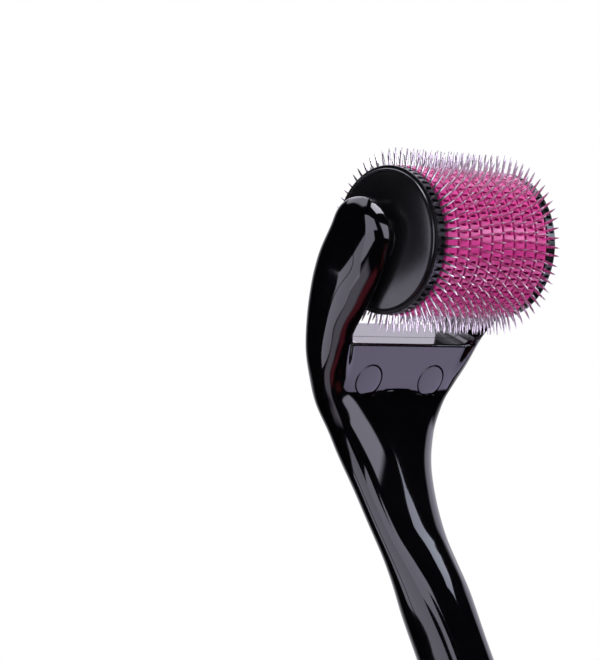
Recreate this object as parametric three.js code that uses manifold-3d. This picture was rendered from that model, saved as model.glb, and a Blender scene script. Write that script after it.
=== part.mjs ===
// Derma roller: a needle drum on a steel axle, held in the fork of a two-shell handle.
// Frame: millimetres, +Z up, X along the axle, the drum side of the handle faces -Y.
// The origin is the bottom centre of the object's box. Everything is drawn about the centre of
// the axle and then lifted to AXLE_HEIGHT.
// In the fork, "along" runs up its leaning length and "depth" runs across it towards the back;
// both are measured from the axle.
import * as THREE from 'three';
import { mergeVertices } from 'three/addons/utils/BufferGeometryUtils.js';
import Module from 'manifold-3d';

// ---------------------------------------------------------------- placing and axle
const AXLE_HEIGHT = 129.0;         // centre of the axle above the lowest point of the butt
const AXLE_BACK = 0.6;             // centre of the axle behind the middle of the object's depth
const FORK_LEAN = 30.4;            // degrees the fork leans forward of vertical
const AXLE_R = 1.1;
const AXLE_HALF = 15.9;            // half length
const AXLE_CHAMFER = 0.2;
const BORE_R = 1.18;               // polygon radius of a bore round the axle
const BORE_HALF = AXLE_HALF + 0.1;
const ROUND_SEGMENTS = 24;         // axle and its bores

// ---------------------------------------------------------------- drum dimensions
const DISC_COUNT = 10;
const NEEDLES = 60;                // on each disc
const DISC_SPAN = 19.74;           // first disc to last disc, along X
const DISC_THICK = 0.25;
const PLATE_R = 10.25;             // plate of a disc, where its needles start
const TIP_R = 12.96;               // needle tips
const NEEDLE_BASE = 0.17;          // half width of a needle at its foot
// Turn of each disc on the core, in needle pitches
const DISC_TURNS = [0, -0.12, 0.08, -0.42, -0.23, 0.04, 0, -0.04, -0.23, -0.42];
const SPACER_R = 10.5;
const SPACER_SIDES = 40;
const STACK_GAP = 0.05;            // air between a disc and the spacer beside it
const HEX_R = 6.0;                 // drum core, centre to corner
const HEX_HOLE_R = HEX_R + 0.1;    // holes that ride on the core
const CORE_HALF = 10.95;           // half length
const CAP_IN = 10.1;               // inner face of an end cap, along X
const CAP_RIM = 11.75;             // outer end of its straight rim
const CAP_OUT = 12.8;              // crown of its domed end
const CAP_R = 10.55;
const CAP_SEGMENTS = 40;
const SOCKET_START = 5;            // hexagonal cut in a cap, along X
const SOCKET_END = CORE_HALF + 0.1;

// Half section of an end cap: [radius, distance from the middle of the drum]
const CAP_PROFILE = [
  [BORE_R, CAP_IN], [CAP_R, CAP_IN], [CAP_R, CAP_RIM],
  [CAP_R - 0.2, CAP_RIM + 0.12], [CAP_R - 0.75, CAP_RIM + 0.2],
  [8.3, 12.15], [6.2, 12.45], [3.6, 12.7], [2.6, CAP_OUT], [BORE_R, CAP_OUT],
];

// ---------------------------------------------------------------- handle dimensions
const BOSS_R = 2.65;               // bosses inside the fork arms
const BOSS_IN = 13.55;             // inner face
const BOSS_OUT = 15.2;             // outer end, buried in the arm
const BOSS_CHAMFER = 0.15;
const BOSS_SEGMENTS = 28;
const SLOT_AXLE = 14.1;            // half width of the fork slot at the axle
const SLOT_MOUTH = SLOT_AXLE + 0.35; // half width at its open end
const SLOT_MOUTH_START = 3;        // where the full mouth width starts, along the fork
const SLOT_TOP = 30;               // end of the slot cutter, clear of the arm tips
const SLOT_FOOT = 12.5;            // half width above its corners
const SLOT_FLOOR = -15.9;
const SLOT_CORNER = 2.1;
const SLOT_CORNER_STEPS = 6;
const SLOT_CUT_START = -20;        // depth at which the slot cutter starts
const SLOT_CUT_DEPTH = 50;
const NECK_FACE = 0.57;            // depth of the flat front face of the neck
const BODY_STEPS = 5;              // facets in a corner of the handle
const BODY_CROWN = 0.3;            // bulge of its sides between the corners
const WALL = 1.8;                  // wall of the hollow grip
const HOLLOW_TOP = -31;            // sections between these heights are hollowed
const HOLLOW_FOOT = -121;
const HOLLOW_CORNER_MARGIN = 0.3;  // least flat left beside a corner of the hollow
const HOLLOW_STEPS = 2;
const HOLLOW_CROWN = 0.05;
const SHELL_GAP = 0.06;            // each shell stops this far from the parting surface

// Round parts and cuts of the neck screws; from and to are depths
const SCREW_X = 6.1;
const SCREW_ALONG = -21.55;
const COVER_RECESS = { radius: 2.5, from: -3, to: 1.55, segments: 28 };
const HEAD_RECESS = { radius: 2.2, from: 1.0, to: 2.9, segments: 20 };
const SHANK_HOLE = { radius: 1.05, from: 2.0, to: 6.6, segments: 16 };
const COVER = { radius: 2.4, from: 0.6, to: 1.5, segments: 28 };
const SCREW_HEAD = { radius: 2.0, from: 1.65, to: 2.8, segments: 16 };
const SCREW_SHANK = { radius: 0.9, from: 2.5, to: 6.4, segments: 12 };

// Cross-sections of the fork and neck, from the arm tips down:
// [along, front depth, back depth, half width,
//  front corner reach in x and in depth, back corner reach in x and in depth]
const FORK_SECTIONS = [
  [5.48, 1.0, 1.9, 15.75, 0.9, 0.3, 0.9, 0.3],
  [5.3, 0.05, 2.71, 16.0, 1.5, 1.2, 1.2, 0.9],
  [4.9, -1.0, 3.88, 16.35, 2.1, 2.2, 1.4, 1.4],
  [4.3, -2.07, 4.9, 16.71, 2.5, 3.1, 1.5, 1.7],
  [3.4, -3.07, 5.84, 17.0, 2.7, 3.9, 1.6, 1.9],
  [2.3, -3.75, 6.49, 17.12, 2.8, 4.4, 1.6, 1.9],
  [0.7, -4.06, 6.88, 17.13, 2.9, 4.6, 1.6, 1.9],
  [-2.0, -3.91, 7.37, 17.05, 2.8, 4.6, 1.6, 1.9],
  [-4.6, -3.4, 7.98, 16.85, 2.6, 4.4, 1.6, 1.9],
  [-7.0, -2.6, 8.32, 16.49, 2.4, 4.2, 1.6, 1.9],
  [-8.75, -2.0, 8.48, 16.18, 2.4, 4.0, 1.6, 1.9],
  [-10.6, -1.35, 8.55, 15.85, 2.5, 3.8, 1.7, 2.0],
  [-12.4, -0.7, 8.58, 15.52, 2.6, 3.6, 1.8, 2.1],
  [-14.0, 0.0, 8.6, 15.19, 2.5, 3.2, 1.9, 2.1],
  [-15.3, NECK_FACE, 8.62, 14.91, 2.4, 2.8, 2.0, 2.2],
  [-17.4, NECK_FACE, 8.55, 14.46, 2.6, 2.9, 2.1, 2.3],
  [-20.0, NECK_FACE, 8.25, 13.87, 2.9, 3.0, 2.3, 2.5],
  [-22.0, NECK_FACE, 7.83, 13.18, 3.1, 3.0, 2.6, 2.7],
  [-23.6, NECK_FACE, 7.5, 12.45, 3.3, 3.1, 3.0, 2.9],
];

// Cross-sections from below the neck to the butt, front and back measured from [y, z]:
// [y, z, turn in degrees, front, back, half width, corner reach in x, corner reach in depth]
const GRIP_SECTIONS = [
  [15.9, -20.1, 25, -3.5, 3.6, 11.5, 3.5, 3.2],
  [16.2, -21.9, 18, -3.75, 3.75, 10.65, 3.8, 3.4],
  [16.38, -23.6, 11, -3.95, 3.95, 9.8, 4.0, 3.6],
  [16.4, -25.4, 3, -4.15, 4.15, 9.0, 4.2, 3.8],
  [16.22, -27.4, -5, -4.25, 4.25, 8.25, 4.4, 3.9],
  [15.78, -29.7, -12, -4.25, 4.25, 7.4, 4.4, 3.9],
  [15.11, -32.0, -17, -4.2, 4.2, 6.9, 4.4, 3.9],
  [13.62, -36.7, -21.5, -4.05, 4.05, 6.23, 4.4, 3.8],
  [11.63, -41.5, -22.5, -4.1, 4.1, 5.72, 4.4, 3.8],
  [9.5, -46.2, -22.5, -4.5, 4.5, 5.22, 4.3, 4.1],
  [7.68, -50.8, -22, -4.95, 4.95, 4.76, 4.1, 4.4],
  [4.9, -58.0, -21.5, -5.1, 5.1, 4.34, 3.9, 4.5],
  [1.7, -66.0, -22, -5.2, 5.2, 4.3, 3.9, 4.6],
  [-2.0, -75.0, -23, -5.25, 5.25, 4.6, 4.0, 4.6],
  [-5.85, -84.0, -23, -5.3, 5.3, 5.13, 4.3, 4.6],
  [-9.25, -92.0, -22, -5.35, 5.35, 5.9, 4.6, 4.6],
  [-12.2, -99.5, -19, -5.4, 5.4, 7.15, 4.9, 4.6],
  [-14.4, -106.5, -14, -5.4, 5.4, 8.85, 5.1, 4.5],
  [-15.8, -112.5, -9, -5.35, 5.35, 10.4, 5.2, 4.4],
  [-16.4, -116.5, -6, -5.25, 5.25, 10.76, 5.2, 4.3],
  [-16.75, -120.0, -4, -5.0, 5.0, 10.5, 5.2, 4.2],
  [-16.95, -123.0, -2, -4.6, 4.6, 9.45, 5.0, 4.0],
  [-17.05, -125.4, -1, -3.95, 3.95, 7.8, 4.6, 3.5],
  [-17.1, -127.2, 0, -3.1, 3.1, 5.8, 3.8, 2.8],
  [-17.1, -128.3, 0, -2.2, 2.2, 3.9, 2.8, 2.0],
  [-17.1, -AXLE_HEIGHT, 0, -1.1, 1.1, 2.0, 1.5, 1.0],
];

// Seam between the shells, seen along X: [y, z] from above the arm tips to below the butt.
// Between SEAM_GRIP_TOP and SEAM_GRIP_FOOT it follows the centres of the grip sections.
const SEAM_TOP = 20;
const SEAM_FOOT = -140;
const SEAM_GRIP_TOP = -25.4;
const SEAM_GRIP_FOOT = -123;
const SEAM_REACH = 60;             // how far a half-space runs in front of or behind the axle
const SEAM_HALF_WIDTH = 30;
const PARTING = [
  [-11.4, SEAM_TOP], [-3.4, 6.1], [0, 0], [2.2, -3.4], [5.6, -6.7], [8.9, -9.4],
  [11.7, -12.4], [14.0, -16.1], [15.5, -19.0], [16.2, -21.9],
  ...GRIP_SECTIONS
    .filter(([, z]) => z <= SEAM_GRIP_TOP && z >= SEAM_GRIP_FOOT)
    .map(([y, z]) => [y, z]),
  [-17.1, -127.2], [-17.1, SEAM_FOOT],
];

// ---------------------------------------------------------------- geometry helpers
const wasm = await Module();
wasm.setup();

const lean = THREE.MathUtils.degToRad(FORK_LEAN);
const forkPoint = (depth, along) => [
  depth * Math.cos(lean) - along * Math.sin(lean),
  depth * Math.sin(lean) + along * Math.cos(lean),
];

// Position-only geometry with shared vertices, no collapsed triangles and its faces pointing out.
function tidy(geometry) {
  const bare = geometry.clone();
  bare.deleteAttribute('normal');
  bare.deleteAttribute('uv');
  const merged = mergeVertices(bare, 1e-5);
  const index = [];
  for (let i = 0; i < merged.index.count; i += 3) {
    const corners = [0, 1, 2].map((k) => merged.index.getX(i + k));
    if (new Set(corners).size === 3) index.push(...corners);
  }
  const vertex = (i) => new THREE.Vector3()
    .fromBufferAttribute(merged.attributes.position, index[i]);
  let volume = 0;
  for (let i = 0; i < index.length; i += 3) {
    volume += vertex(i).dot(vertex(i + 1).cross(vertex(i + 2)));
  }
  if (volume < 0) {
    for (let i = 0; i < index.length; i += 3) {
      [index[i], index[i + 1]] = [index[i + 1], index[i]];
    }
  }
  merged.setIndex(index);
  return merged;
}

function toSolid(geometry) {
  const closed = tidy(geometry);
  return new wasm.Manifold(new wasm.Mesh({
    numProp: 3,
    vertProperties: new Float32Array(closed.attributes.position.array),
    triVerts: new Uint32Array(closed.index.array),
  }));
}

function fromSolid(solid) {
  const mesh = solid.getMesh();
  const geometry = new THREE.BufferGeometry();
  const positions = new Float32Array(mesh.vertProperties);
  geometry.setAttribute('position', new THREE.BufferAttribute(positions, 3));
  geometry.setIndex(new THREE.BufferAttribute(new Uint32Array(mesh.triVerts), 1));
  return geometry;
}

// Closed profile of [radius, x] points turned about the X axis.
function turned(profile, segments) {
  const points = [...profile, profile[0]].map(([radius, x]) => new THREE.Vector2(radius, x));
  const geometry = new THREE.LatheGeometry(points, segments);
  geometry.rotateZ(-Math.PI / 2);
  return tidy(geometry);
}

const toVectors = (points) => points.map(([x, y]) => new THREE.Vector2(x, y));

// Shape from an outline; its holes run the opposite way round.
function polygon(outline, holes = []) {
  const shape = new THREE.Shape(toVectors(outline));
  for (const hole of holes) shape.holes.push(new THREE.Path(toVectors([...hole].reverse())));
  return shape;
}

const ring = (sides, radius) => Array.from({ length: sides }, (_, i) => {
  const angle = (2 * Math.PI * i) / sides;
  return [radius * Math.cos(angle), radius * Math.sin(angle)];
});

// Plate cut to a shape in the YZ plane, between two positions along X.
function plateX(shape, start, end) {
  const geometry = new THREE.ExtrudeGeometry(shape, { depth: end - start, bevelEnabled: false });
  geometry.applyMatrix4(new THREE.Matrix4().set(
    0, 0, 1, start,
    1, 0, 0, 0,
    0, 1, 0, 0,
    0, 0, 0, 1,
  ));
  return tidy(geometry);
}

// Round bar across the fork at the height of the neck screws.
function screwBar({ radius, from, to, segments }, x) {
  const geometry = new THREE.CylinderGeometry(radius, radius, to - from, segments);
  geometry.translate(0, (from + to) / 2, 0);
  geometry.rotateX(lean);
  geometry.translate(x, ...forkPoint(0, SCREW_ALONG));
  return tidy(geometry);
}

// ---------------------------------------------------------------- handle solids
// Loop of points round one section, [y, z, turn, ...] as in GRIP_SECTIONS.
function sectionRing(section, steps, crown) {
  const [y, z, turn, front, back, halfWidth, frontX, frontDepth,
    backX = frontX, backDepth = frontDepth] = section;
  const angle = THREE.MathUtils.degToRad(turn);
  const middle = (front + back) / 2;
  const halfDepth = (back - front) / 2;
  const corner = (reachX, reachDepth) => Array.from({ length: steps + 1 }, (_, i) => {
    const t = (i / steps) * (Math.PI / 2);
    return [
      halfWidth - crown - reachX + reachX * Math.cos(t),
      halfDepth - reachDepth + reachDepth * Math.sin(t),
    ];
  });
  const rear = corner(backX, backDepth);
  const face = corner(frontX, frontDepth);
  const outline = [
    [halfWidth, 0],
    ...rear,
    [0, halfDepth],
    ...[...rear].reverse().map(([x, depth]) => [-x, depth]),
    [-halfWidth, 0],
    ...face.map(([x, depth]) => [-x, -depth]),
    [0, -halfDepth],
    ...[...face].reverse().map(([x, depth]) => [x, -depth]),
  ];
  return outline.map(([x, depth]) => [
    x,
    y + (middle + depth) * Math.cos(angle),
    z + (middle + depth) * Math.sin(angle),
  ]);
}

// Solid skinned over the sections, closed with a fan at each end.
function loft(sections, steps, crown) {
  const rings = sections.map((section) => sectionRing(section, steps, crown));
  const count = rings[0].length;
  const last = rings.length - 1;
  const points = rings.flat();
  const index = [];
  for (let k = 0; k < last; k++) {
    for (let i = 0; i < count; i++) {
      const here = k * count + i;
      const next = k * count + ((i + 1) % count);
      index.push(here, next, next + count, here, next + count, here + count);
    }
  }
  for (const k of [0, last]) {
    const centre = points.length;
    points.push([0, 1, 2].map((axis) => rings[k].reduce((sum, p) => sum + p[axis], 0) / count));
    for (let i = 0; i < count; i++) {
      const here = k * count + i;
      const next = k * count + ((i + 1) % count);
      index.push(...(k === 0 ? [centre, next, here] : [centre, here, next]));
    }
  }
  const geometry = new THREE.BufferGeometry();
  geometry.setAttribute('position', new THREE.Float32BufferAttribute(points.flat(), 3));
  geometry.setIndex(index);
  return tidy(geometry);
}

function outerForm() {
  const fork = FORK_SECTIONS.map(([along, ...sizes]) => [
    ...forkPoint(0, along), FORK_LEAN, ...sizes,
  ]);
  return loft([...fork, ...GRIP_SECTIONS], BODY_STEPS, BODY_CROWN);
}

// Open-topped slot between the fork arms, with rounded corners at its floor.
function forkSlot() {
  const side = [
    [SLOT_MOUTH, SLOT_TOP], [SLOT_MOUTH, SLOT_MOUTH_START],
    [SLOT_AXLE, 0], [SLOT_FOOT, SLOT_FLOOR + SLOT_CORNER],
  ];
  for (let i = 1; i <= SLOT_CORNER_STEPS; i++) {
    const t = (i / SLOT_CORNER_STEPS) * (Math.PI / 2);
    side.push([
      SLOT_FOOT - SLOT_CORNER + SLOT_CORNER * Math.cos(t),
      SLOT_FLOOR + SLOT_CORNER * (1 - Math.sin(t)),
    ]);
  }
  const outline = [...side, ...[...side].reverse().map(([x, along]) => [-x, along])];
  const geometry = new THREE.ExtrudeGeometry(polygon(outline), {
    depth: SLOT_CUT_DEPTH,
    bevelEnabled: false,
  });
  // outline x -> X, outline y -> along the fork, extrusion -> depth
  const cos = Math.cos(lean);
  const sin = Math.sin(lean);
  geometry.applyMatrix4(new THREE.Matrix4().set(
    1, 0, 0, 0,
    0, -sin, cos, SLOT_CUT_START * cos,
    0, cos, sin, SLOT_CUT_START * sin,
    0, 0, 0, 1,
  ));
  return tidy(geometry);
}

function armBoss(side) {
  const boss = turned([
    [0, BOSS_IN], [BOSS_R - BOSS_CHAMFER, BOSS_IN], [BOSS_R, BOSS_IN + BOSS_CHAMFER],
    [BOSS_R, BOSS_OUT], [0, BOSS_OUT],
  ], BOSS_SEGMENTS);
  return boss.scale(side, 1, 1);
}

const axleBore = () => turned(
  [[0, -BORE_HALF], [BORE_R, -BORE_HALF], [BORE_R, BORE_HALF], [0, BORE_HALF]],
  ROUND_SEGMENTS,
);

// Cavity of the grip, one wall inside its sections.
function gripHollow() {
  const sections = GRIP_SECTIONS
    .filter(([, z]) => z < HOLLOW_TOP && z > HOLLOW_FOOT)
    .map(([y, z, turn, front, back, halfWidth, cornerX, cornerDepth]) => [
      y, z, turn, front + WALL, back - WALL, halfWidth - WALL,
      Math.min(cornerX, halfWidth - WALL - HOLLOW_CORNER_MARGIN),
      Math.min(cornerDepth, back - WALL - HOLLOW_CORNER_MARGIN),
    ]);
  return loft(sections, HOLLOW_STEPS, HOLLOW_CROWN);
}

function handleBody() {
  let body = toSolid(outerForm()).subtract(toSolid(forkSlot()));
  for (const side of [-1, 1]) body = body.add(toSolid(armBoss(side)));
  body = body.subtract(toSolid(axleBore()));
  for (const x of [-SCREW_X, SCREW_X]) {
    for (const cut of [COVER_RECESS, HEAD_RECESS, SHANK_HOLE]) {
      body = body.subtract(toSolid(screwBar(cut, x)));
    }
  }
  return body.subtract(toSolid(gripHollow()));
}

// Everything on one side of the seam: side -1 is the front, +1 the back.
function seamSide(side) {
  const shifted = PARTING.map(([y, z], i) => {
    const before = PARTING[Math.max(i - 1, 0)];
    const after = PARTING[Math.min(i + 1, PARTING.length - 1)];
    const run = new THREE.Vector2(after[0] - before[0], after[1] - before[1]).normalize();
    return [y - side * SHELL_GAP * run.y, z + side * SHELL_GAP * run.x];
  });
  const far = side * SEAM_REACH;
  const outline = [[far, SEAM_TOP], ...shifted, [far, SEAM_FOOT]];
  return plateX(polygon(outline), -SEAM_HALF_WIDTH, SEAM_HALF_WIDTH);
}

// ---------------------------------------------------------------- materials
const finish = (options) => new THREE.MeshStandardMaterial(options);
const handleBlack = finish({ color: 0x08080a, roughness: 0.12, metalness: 0 });
const coverBlack = finish({ color: 0x0a0a0c, roughness: 0.2, metalness: 0 });
const capBlack = finish({ color: 0x101013, roughness: 0.4, metalness: 0 });
const ringPink = finish({ color: 0xd22a7c, roughness: 0.25, metalness: 0 });
const needleSteel = finish({ color: 0xc9cacf, roughness: 0.28, metalness: 1 });
const axleSteel = finish({ color: 0xa9abb0, roughness: 0.3, metalness: 1 });
const corePlastic = finish({ color: 0x1b1b1e, roughness: 0.5, metalness: 0 });

// ---------------------------------------------------------------- pieces
const group = new THREE.Group();
group.position.set(0, AXLE_BACK, AXLE_HEIGHT);
const drum = new THREE.Group();

function place(parent, name, geometry, material) {
  const mesh = new THREE.Mesh(geometry, material);
  mesh.name = name;
  parent.add(mesh);
}

const SIDES = [['left', -1], ['right', 1]];

function addShells() {
  const body = handleBody();
  for (const [name, side] of [['front', -1], ['back', 1]]) {
    const shell = body.intersect(toSolid(seamSide(side)));
    place(group, `handle_${name}_shell`, fromSolid(shell), handleBlack);
  }
}

function addNeckScrew(name, side) {
  const x = side * SCREW_X;
  place(group, `screw_cover_${name}`, screwBar(COVER, x), coverBlack);
  const screw = toSolid(screwBar(SCREW_HEAD, x)).add(toSolid(screwBar(SCREW_SHANK, x)));
  place(group, `neck_screw_${name}`, fromSolid(screw), axleSteel);
}

function addAxle() {
  const profile = [
    [0, -AXLE_HALF], [AXLE_R - AXLE_CHAMFER, -AXLE_HALF], [AXLE_R, -AXLE_HALF + AXLE_CHAMFER],
    [AXLE_R, AXLE_HALF - AXLE_CHAMFER], [AXLE_R - AXLE_CHAMFER, AXLE_HALF], [0, AXLE_HALF],
  ];
  place(group, 'axle_pin', turned(profile, ROUND_SEGMENTS), axleSteel);
}

function addCore() {
  const shape = polygon(ring(6, HEX_R), [ring(ROUND_SEGMENTS, BORE_R)]);
  place(drum, 'drum_core', plateX(shape, -CORE_HALF, CORE_HALF), corePlastic);
}

const hexHole = ring(6, HEX_HOLE_R);

// Disc with one triangular needle per pitch.
function needleDisc(turn, x) {
  const halfFoot = NEEDLE_BASE / PLATE_R;
  const outline = [];
  for (let i = 0; i < NEEDLES; i++) {
    const middle = ((2 * Math.PI) / NEEDLES) * (i + turn);
    const needle = [[PLATE_R, middle - halfFoot], [TIP_R, middle], [PLATE_R, middle + halfFoot]];
    for (const [radius, angle] of needle) {
      outline.push([radius * Math.cos(angle), radius * Math.sin(angle)]);
    }
  }
  return plateX(polygon(outline, [hexHole]), x - DISC_THICK / 2, x + DISC_THICK / 2);
}

// Discs from -X to +X, with a spacer between each pair.
function addStack() {
  const step = DISC_SPAN / (DISC_COUNT - 1);
  const inset = DISC_THICK / 2 + STACK_GAP;
  const spacerShape = polygon(ring(SPACER_SIDES, SPACER_R), [hexHole]);
  for (let i = 0; i < DISC_COUNT; i++) {
    const x = -DISC_SPAN / 2 + i * step;
    const number = String(i + 1).padStart(2, '0');
    place(drum, `needle_disc_${number}`, needleDisc(DISC_TURNS[i], x), needleSteel);
    if (i + 1 < DISC_COUNT) {
      const spacer = plateX(spacerShape, x + inset, x + step - inset);
      place(drum, `spacer_ring_${number}`, spacer, ringPink);
    }
  }
}

function addEndCap(name, side) {
  const profile = CAP_PROFILE.map(([radius, x]) => [radius, side * x]);
  const [start, end] = side < 0 ? [-SOCKET_END, -SOCKET_START] : [SOCKET_START, SOCKET_END];
  const socket = toSolid(plateX(polygon(hexHole), start, end));
  const cap = toSolid(turned(profile, CAP_SEGMENTS)).subtract(socket);
  place(drum, `end_cap_${name}`, fromSolid(cap), capBlack);
}

addShells();
for (const [name, side] of SIDES) addNeckScrew(name, side);
addAxle();
group.add(drum);
addCore();
addStack();
for (const [name, side] of SIDES) addEndCap(name, side);

export default group;
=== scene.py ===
# Derma roller: a black two-part handle whose fork carries a drum of ten needle discs, pink
# spacer rings and two end caps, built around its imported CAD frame.
# X runs along the axle (left is -X), the front faces -Y and +Z is up. The handle stands on its
# butt and its fork leans towards the front. Helpers work in millimetres about the centre of the
# axle; add_mesh turns that into the metres and the origin of the Blender scene.
import math

import bmesh
import bpy
import numpy as np
from mathutils import Matrix, Vector


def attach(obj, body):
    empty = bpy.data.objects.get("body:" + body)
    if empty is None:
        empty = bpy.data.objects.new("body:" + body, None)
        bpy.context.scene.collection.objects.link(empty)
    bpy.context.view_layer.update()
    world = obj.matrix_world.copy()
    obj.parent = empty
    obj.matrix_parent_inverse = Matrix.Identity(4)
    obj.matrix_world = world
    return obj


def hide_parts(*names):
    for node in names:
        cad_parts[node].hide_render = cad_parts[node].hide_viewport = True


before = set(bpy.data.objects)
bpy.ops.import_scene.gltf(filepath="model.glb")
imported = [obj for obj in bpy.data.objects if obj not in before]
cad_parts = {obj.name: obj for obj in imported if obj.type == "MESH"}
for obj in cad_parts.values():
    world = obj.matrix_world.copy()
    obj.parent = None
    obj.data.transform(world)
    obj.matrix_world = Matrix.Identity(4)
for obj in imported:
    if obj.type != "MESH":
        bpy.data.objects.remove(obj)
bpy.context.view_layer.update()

# ------------------------------------------------------------------ shared dimensions (mm)
MM = 0.001
BUTT_Z = -129.0                        # lowest point of the handle
AXLE = np.array([0.0, 0.6, -BUTT_Z])   # centre of the axle in the scene
LEAN = math.radians(30.4)              # lean of the fork towards the front
LEAN_COS, LEAN_SIN = math.cos(LEAN), math.sin(LEAN)

DISCS, NEEDLES = 10, 60
DISC_X = np.linspace(-9.87, 9.87, DISCS)
DISC_THICK = 0.25
PITCH = 2 * math.pi / NEEDLES
FIRST_TIP = math.radians(4.8)          # first needle of the left disc, from -Y upwards
PHASES = [0, -0.12, 0.08, -0.42, -0.23, 0.04, 0, -0.04, -0.23, -0.42]   # disc turns, in pitches
HEX_HOLE = 6.1                         # corner radius of the hole in discs, rings and caps

NECK_FACE = 0.57                       # depth of the flat front of the neck
SCREW_X, SCREW_RISE = 6.1, -21.55
SIDES = (("left", -1), ("right", 1))

RNG = np.random.default_rng(20)


def fork(depth, rise):
    """(y, z) of a point given front to back across the fork and up along it."""
    return depth * LEAN_COS - rise * LEAN_SIN, depth * LEAN_SIN + rise * LEAN_COS


# ------------------------------------------------------------------ curves and fields
LINE_STEP = 0.05                       # spacing of the samples along the handle's centre line


def pchip(knots, heights, x):
    """Monotone cubic through the knots."""
    knots, heights = np.asarray(knots, float), np.asarray(heights, float)
    gap = np.diff(knots)
    slope = np.diff(heights) / gap
    tangent = np.zeros(len(knots))
    for i in range(1, len(knots) - 1):
        if slope[i - 1] * slope[i] > 0:
            before, after = 2 * gap[i] + gap[i - 1], gap[i] + 2 * gap[i - 1]
            tangent[i] = (before + after) / (before / slope[i - 1] + after / slope[i])
    tangent[0], tangent[-1] = slope[0], slope[-1]
    i = np.clip(np.searchsorted(knots, x) - 1, 0, len(gap) - 1)
    part = (x - knots[i]) / gap[i]
    square, cube = part * part, part * part * part
    return (
        (2 * cube - 3 * square + 1) * heights[i]
        + (cube - 2 * square + part) * gap[i] * tangent[i]
        + (-2 * cube + 3 * square) * heights[i + 1]
        + (cube - square) * gap[i] * tangent[i + 1]
    )


def blur(values, sigma):
    """Gaussian blur along the centre line that keeps straight ends straight."""
    reach = int(4 * sigma / LINE_STEP)
    kernel = np.exp(-0.5 * (np.arange(-reach, reach + 1) * LINE_STEP / sigma) ** 2)
    kernel /= kernel.sum()
    lead = values[0] - (values[1] - values[0]) * np.arange(reach, 0, -1)
    tail = values[-1] + (values[-1] - values[-2]) * np.arange(1, reach + 1)
    return np.convolve(np.concatenate([lead, values, tail]), kernel, "valid")


def smax(first, second, blend):
    """Maximum of two fields, rounded where they are within blend of each other."""
    near = np.maximum(blend - np.abs(first - second), 0.0) / blend
    return np.maximum(first, second) + near * near * blend * 0.25


def smin(first, second, blend):
    return -smax(-first, -second, blend)


def gradient(field, x, depth, rise, step=0.01):
    """Rates of change of the field along x, depth and rise, one row each."""
    return np.stack([
        field(x + step, depth, rise) - field(x - step, depth, rise),
        field(x, depth + step, rise) - field(x, depth - step, rise),
        field(x, depth, rise + step) - field(x, depth, rise - step),
    ]) / (2 * step)


def settle(field, points, rounds, hold_depth=False):
    """Moves points onto field = 0 along its gradient, at their own depth if asked."""
    for _ in range(rounds):
        distance = field(*points.T)
        grads = gradient(field, *points.T)
        if hold_depth:
            grads[1] = 0
        step = distance / np.maximum((grads**2).sum(0), 0.05)
        points = points - (np.clip(step, -0.25, 0.25) * grads).T
    return points


def surface_nets(field, xs, depths, rises):
    """Quad surface where the field crosses 0 on a rectilinear grid."""
    grid = np.meshgrid(xs, depths, rises, indexing="ij")
    values = field(*(axis.ravel() for axis in grid)).reshape(grid[0].shape)
    inside = values < 0
    corners = [(a, b, c) for a in (0, 1) for b in (0, 1) for c in (0, 1)]
    cells = np.array(values.shape) - 1
    total = np.zeros(cells, int)
    for a, b, c in corners:
        total += inside[a:a + cells[0], b:b + cells[1], c:c + cells[2]]
    active = (total > 0) & (total < 8)
    i, j, k = np.nonzero(active)
    index = np.full(cells, -1)
    index[active] = np.arange(len(i))
    level = np.stack([values[i + a, j + b, k + c] for a, b, c in corners], 1)
    place = np.stack(
        [np.stack([xs[i + a], depths[j + b], rises[k + c]], 1) for a, b, c in corners], 1)

    # one vertex per active cell: the mean of the crossings on its edges
    sums, count = np.zeros((len(i), 3)), np.zeros(len(i))
    for p in range(8):
        for q in range(p + 1, 8):
            if sum(abs(a - b) for a, b in zip(corners[p], corners[q])) != 1:
                continue
            cross = (level[:, p] < 0) != (level[:, q] < 0)
            part = level[cross, p] / (level[cross, p] - level[cross, q])
            sums[cross] += (
                place[cross, p] + (place[cross, q] - place[cross, p]) * part[:, None])
            count[cross] += 1
    verts = sums / count[:, None]

    # one quad per crossed grid edge
    quads = []
    for axis in range(3):
        one, two = [(1, 2), (2, 0), (0, 1)][axis]
        low, high = [slice(None)] * 3, [slice(None)] * 3
        low[axis], high[axis] = slice(0, -1), slice(1, None)
        edges = np.argwhere(inside[tuple(low)] != inside[tuple(high)])
        within = (edges[:, one] > 0) & (edges[:, two] > 0)
        within &= (edges[:, one] < cells[one]) & (edges[:, two] < cells[two])
        edges = edges[within]
        quad = []
        for shift_one, shift_two in ((-1, -1), (0, -1), (0, 0), (-1, 0)):
            cell = edges.copy()
            cell[:, one] += shift_one
            cell[:, two] += shift_two
            quad.append(index[tuple(cell.T)])
        quad = np.stack(quad, 1)
        flip = ~inside[tuple(edges.T)]
        quad[flip] = quad[flip][:, ::-1]
        quads.append(quad)
    return verts, np.concatenate(quads)


# ------------------------------------------------------------------ mesh helpers
def link_object(name, data):
    piece = bpy.data.objects.new(name, data)
    bpy.context.scene.collection.objects.link(piece)
    return piece


def add_mesh(name, verts, faces, smooth=True):
    """Object from vertices in millimetres about the axle."""
    mesh = bpy.data.meshes.new(name)
    places = ((np.asarray(verts) + AXLE) * MM).tolist()
    mesh.from_pydata(places, [], [list(map(int, face)) for face in faces])
    mesh.validate(clean_customdata=False)
    mesh.update()
    piece = link_object(name, mesh)
    if smooth:
        mesh.shade_smooth()
    return piece


def finish_piece(piece, body, material, cad_node):
    piece.data.materials.clear()
    piece.data.materials.append(material)
    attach(piece, body)
    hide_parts(cad_node)


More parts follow.
